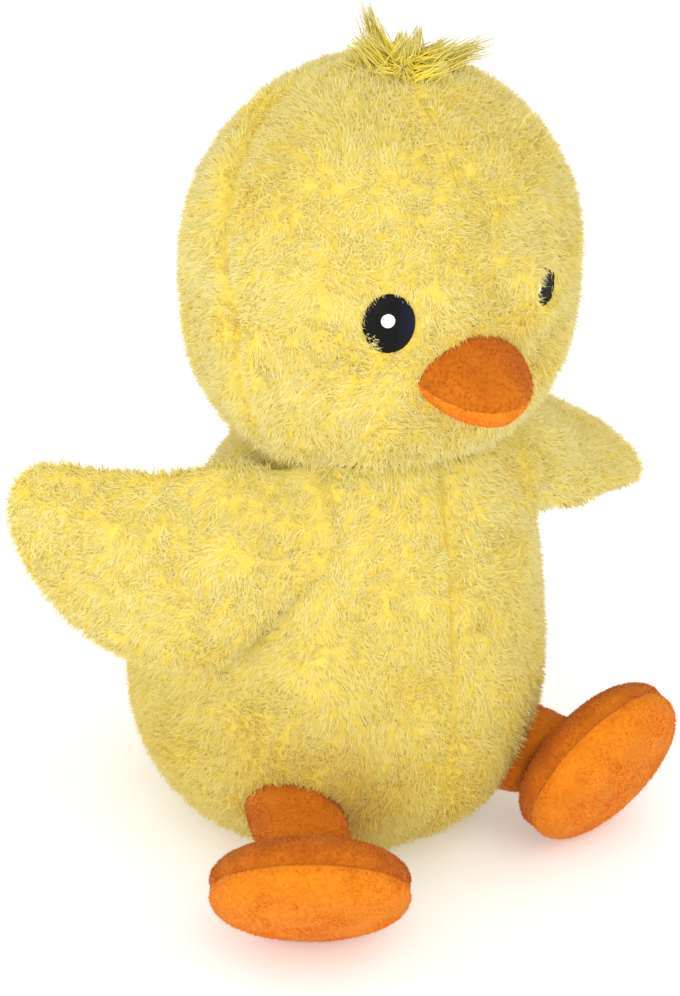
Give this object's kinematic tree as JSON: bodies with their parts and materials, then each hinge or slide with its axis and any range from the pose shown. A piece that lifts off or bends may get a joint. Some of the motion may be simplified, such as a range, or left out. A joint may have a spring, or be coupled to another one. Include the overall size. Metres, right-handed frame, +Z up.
{
  "type": "plush chick toy",
  "caption": "Sitting plush chick with a round furry head, padded orange bill, stitched eyes, a hair tuft, sewn wings and padded orange legs and feet that flex at their seams.",
  "frame": {"origin": "middle of the flat seat, on the surface that the chick sits on", "axes": "+Z up, the chick looks along -Y and its left side is towards +X"},
  "size_m": [0.1572, 0.1291, 0.2011],
  "materials": {
    "yellow_fur": "soft short-pile yellow plush",
    "golden_fur": "longer golden pile",
    "orange_cloth": "short-nap orange cloth",
    "black_thread": "satin-stitched black thread",
    "white_thread": "satin-stitched white thread",
    "white_fibre": "polyester fibre filling"
  },
  "bodies": {
    "body": {"body_left_panel": "yellow_fur", "body_right_panel": "yellow_fur", "body_seat_panel": "yellow_fur", "body_stuffing": "white_fibre"},
    "neck": {"neck_stuffing": "white_fibre"},
    "head": {"head_face_left": "yellow_fur", "head_face_right": "yellow_fur", "head_back_left": "yellow_fur", "head_back_right": "yellow_fur", "head_stuffing": "white_fibre", "bill_upper": "orange_cloth", "bill_lower": "orange_cloth", "bill_stuffing": "white_fibre", "eye_left": "black_thread", "eye_left_highlight": "white_thread", "eye_right": "black_thread", "eye_right_highlight": "white_thread", "hair_tuft": "golden_fur"},
    "wing_left": {"wing_left_front": "yellow_fur", "wing_left_back": "yellow_fur", "wing_left_stuffing": "white_fibre"},
    "wing_right": {"wing_right_front": "yellow_fur", "wing_right_back": "yellow_fur", "wing_right_stuffing": "white_fibre"},
    "leg_left": {"leg_left_cover": "orange_cloth", "leg_left_stuffing": "white_fibre"},
    "leg_right": {"leg_right_cover": "orange_cloth", "leg_right_stuffing": "white_fibre"},
    "foot_left": {"foot_left_top": "orange_cloth", "foot_left_sole": "orange_cloth", "foot_left_stuffing": "white_fibre"},
    "foot_right": {"foot_right_top": "orange_cloth", "foot_right_sole": "orange_cloth", "foot_right_stuffing": "white_fibre"}
  },
  "joints": [
    {"name": "head_turn", "type": "hinge", "parent": "body", "child": "neck", "pos_m": [0, -0.023, 0.108], "axis": [0, 0, 1], "range_deg": [-25, 25], "stiffness_Nm_per_rad": 0.25},
    {"name": "head_nod", "type": "hinge", "parent": "neck", "child": "head", "pos_m": [0, -0.023, 0.108], "axis": [1, 0, 0], "range_deg": [-4, 8], "stiffness_Nm_per_rad": 0.4},
    {"name": "wing_left_swing", "type": "hinge", "parent": "body", "child": "wing_left", "pos_m": [0.02614, -0.03859, 0.09175], "axis": [0.1059, -0.1836, -0.9773], "range_deg": [-4, 30], "stiffness_Nm_per_rad": 0.02},
    {"name": "wing_right_swing", "type": "hinge", "parent": "body", "child": "wing_right", "pos_m": [-0.02614, -0.03859, 0.09175], "axis": [0.1059, 0.1836, 0.9773], "range_deg": [-4, 30], "stiffness_Nm_per_rad": 0.02},
    {"name": "leg_left_swing", "type": "hinge", "parent": "body", "child": "leg_left", "pos_m": [0.02982, -0.03568, 0.019], "axis": [-0.531, -0.8473, 0], "range_deg": [-2, 12], "stiffness_Nm_per_rad": 0.06},
    {"name": "leg_right_swing", "type": "hinge", "parent": "body", "child": "leg_right", "pos_m": [-0.02982, -0.03568, 0.019], "axis": [-0.9532, 0.3023, 0], "range_deg": [-2, 12], "stiffness_Nm_per_rad": 0.06},
    {"name": "foot_left_flex", "type": "hinge", "parent": "leg_left", "child": "foot_left", "pos_m": [0.03897, -0.04142, 0.01612], "axis": [-0.9613, -0.2756, 0], "range_deg": [-8, 8], "stiffness_Nm_per_rad": 0.04},
    {"name": "foot_right_flex", "type": "hinge", "parent": "leg_right", "child": "foot_right", "pos_m": [-0.03482, -0.05146, 0.01749], "axis": [-0.866, 0.5, 0], "range_deg": [-8, 8], "stiffness_Nm_per_rad": 0.04}
  ]
}
